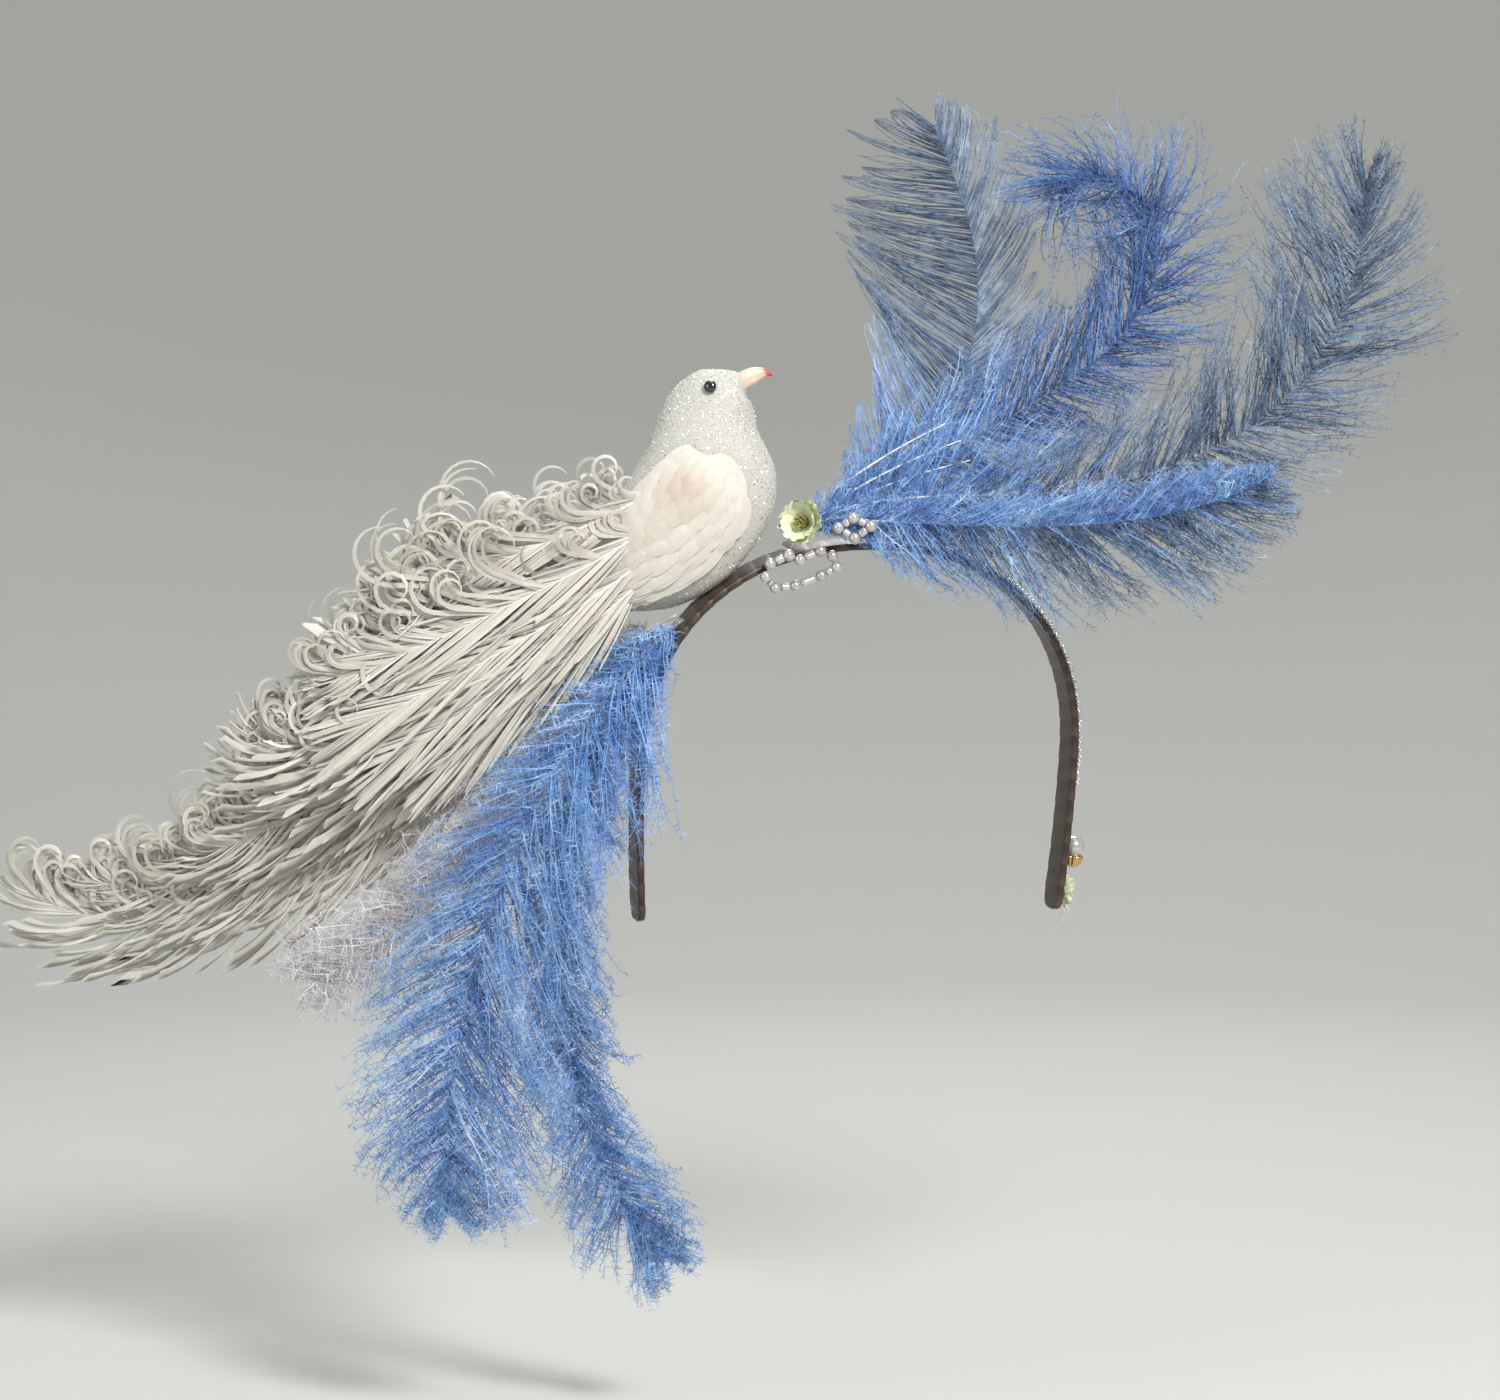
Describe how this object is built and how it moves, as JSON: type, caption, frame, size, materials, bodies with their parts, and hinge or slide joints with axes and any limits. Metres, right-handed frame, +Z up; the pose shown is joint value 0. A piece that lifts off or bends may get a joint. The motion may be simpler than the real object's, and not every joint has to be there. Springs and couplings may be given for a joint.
{
  "type": "showgirl feather headdress",
  "caption": "Narrow headband with a glittered dove, a train of curled feathers, blue ostrich plumes, a silk flower, a pearl buckle and a pearl drop.",
  "frame": {"origin": "the crown seat: the middle of the band's inner face at the top of the arch, where it rests on the head", "axes": "+Z up out of the head, -Y the way the wearer faces, +X the wearer's left"},
  "size_m": [0.4373, 0.1819, 0.3995],
  "materials": {
    "band_satin": "dark brown satin ribbon wound on the band",
    "seed_bead": "silver-lined clear seed beads",
    "dove_glitter": "foam covered with fine silver-white glitter",
    "beak": "painted peach with a red tip",
    "eye": "glossy black bead",
    "dove_feather": "cream feathers with a peach tint",
    "curled_feather": "cream to warm grey curled feather",
    "white_plume": "loose lilac-white down",
    "blue_plume": "cornflower blue ostrich plume",
    "deep_plume": "deep blue ostrich plume",
    "steel_plume": "steel blue ostrich plume",
    "petal": "pale green silk",
    "flower_centre": "olive and mustard stamens",
    "pearl": "imitation pearl",
    "gold": "worn gold"
  },
  "bodies": {
    "root": {"headband": "band_satin", "band_bead_trim": "seed_bead", "dove_body": "dove_glitter", "dove_beak": "beak", "dove_eye_right": "eye", "dove_eye_left": "eye", "dove_wing_right": "dove_feather", "dove_wing_left": "dove_feather", "curled_feather_1": "curled_feather", "curled_feather_2": "curled_feather", "curled_feather_3": "curled_feather", "curled_feather_4": "curled_feather", "curled_feather_5": "curled_feather", "curled_feather_6": "curled_feather", "white_plume": "white_plume", "hanging_plume_1": "blue_plume", "hanging_plume_2": "blue_plume", "top_plume_1": "steel_plume", "top_plume_2": "deep_plume", "top_plume_3": "steel_plume", "top_plume_4": "blue_plume", "flower_petals": "petal", "flower_centre": "flower_centre", "pearl_buckle": "pearl", "pearl_loop": "pearl", "side_pearl": "pearl", "side_pearl_cap": "gold", "side_flower": "petal"}
  },
  "joints": []
}
